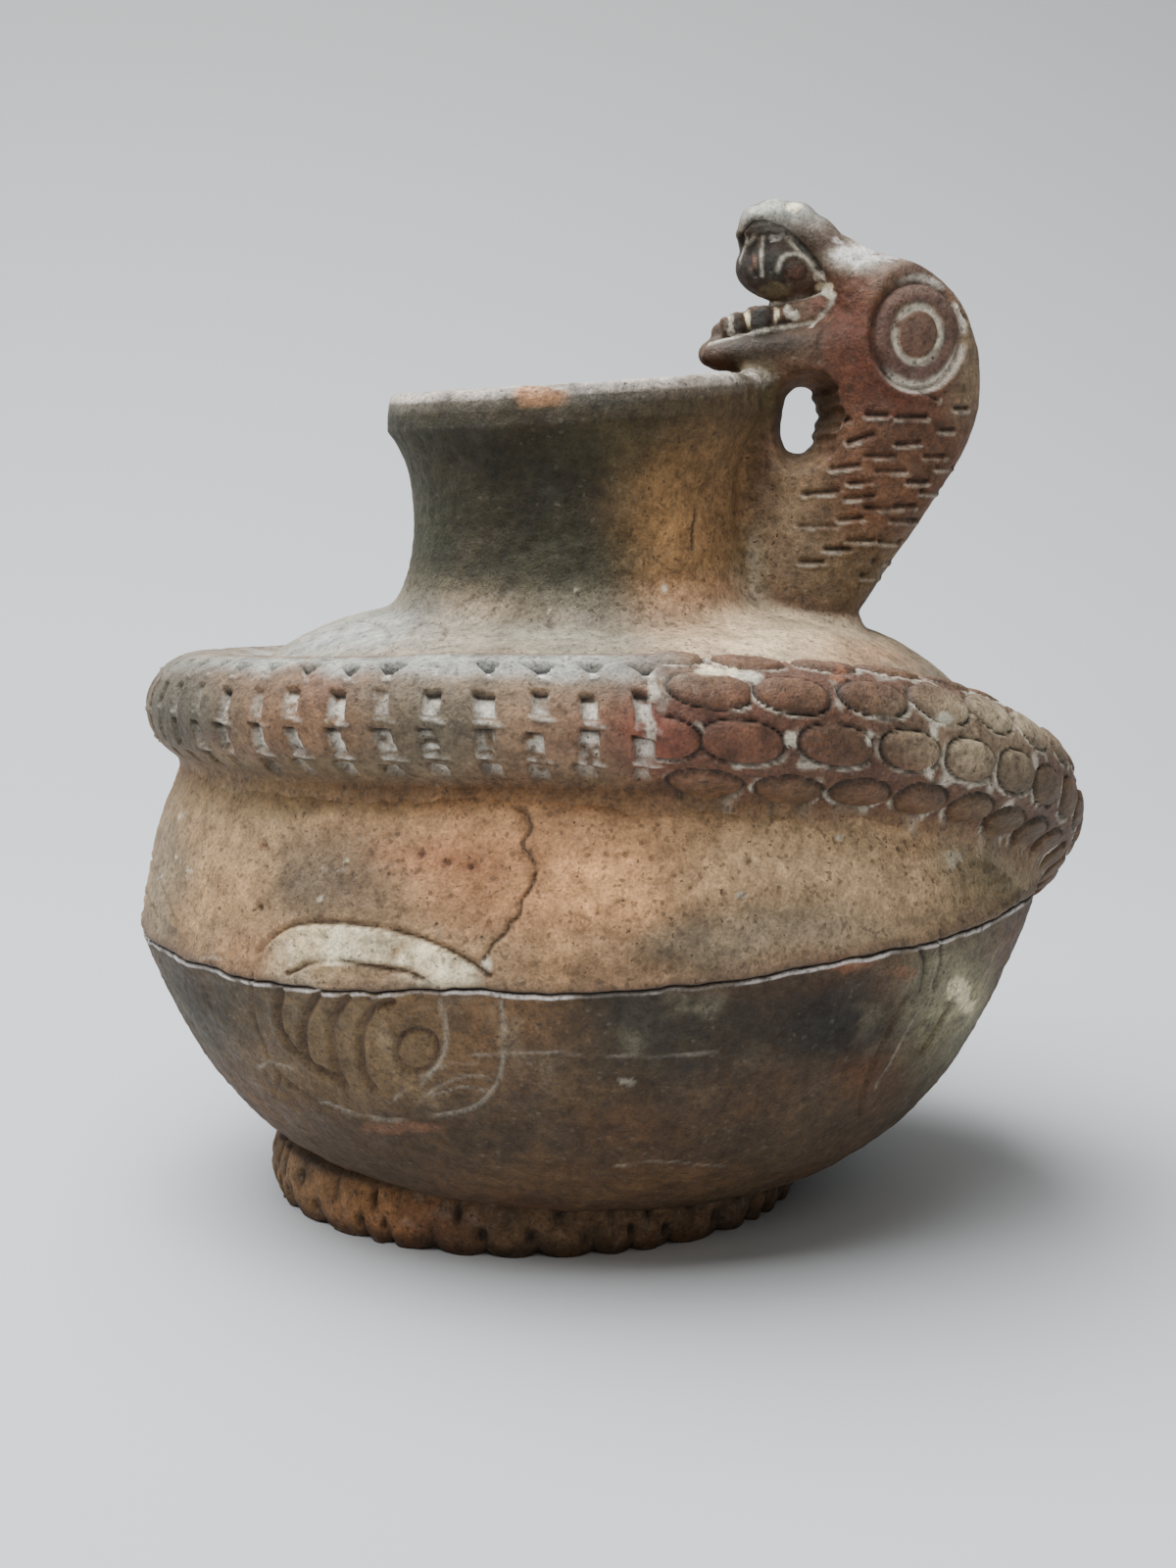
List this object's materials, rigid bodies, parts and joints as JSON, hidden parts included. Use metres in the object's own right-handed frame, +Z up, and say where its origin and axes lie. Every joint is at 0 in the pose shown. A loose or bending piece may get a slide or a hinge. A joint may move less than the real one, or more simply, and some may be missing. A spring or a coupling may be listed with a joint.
{
  "type": "effigy vessel",
  "caption": "Squat hollow jar of fired clay with a flared neck and a notched ring foot; a modelled serpent coils round the shoulder and its raised neck, with open jaws on the rim, is the handle",
  "frame": {"origin": "middle of the bounding box, at the level the foot stands on", "axes": "+Z up, +X towards the serpent's neck, so the serpent looks towards -X; the carved scales cross the front, which faces -Y"},
  "size_m": [0.2092, 0.2024, 0.2189],
  "materials": {
    "clay": "matte burnished earthenware, fire-clouded and worn"
  },
  "bodies": {
    "root": {"effigy_vessel": "clay"}
  },
  "joints": []
}
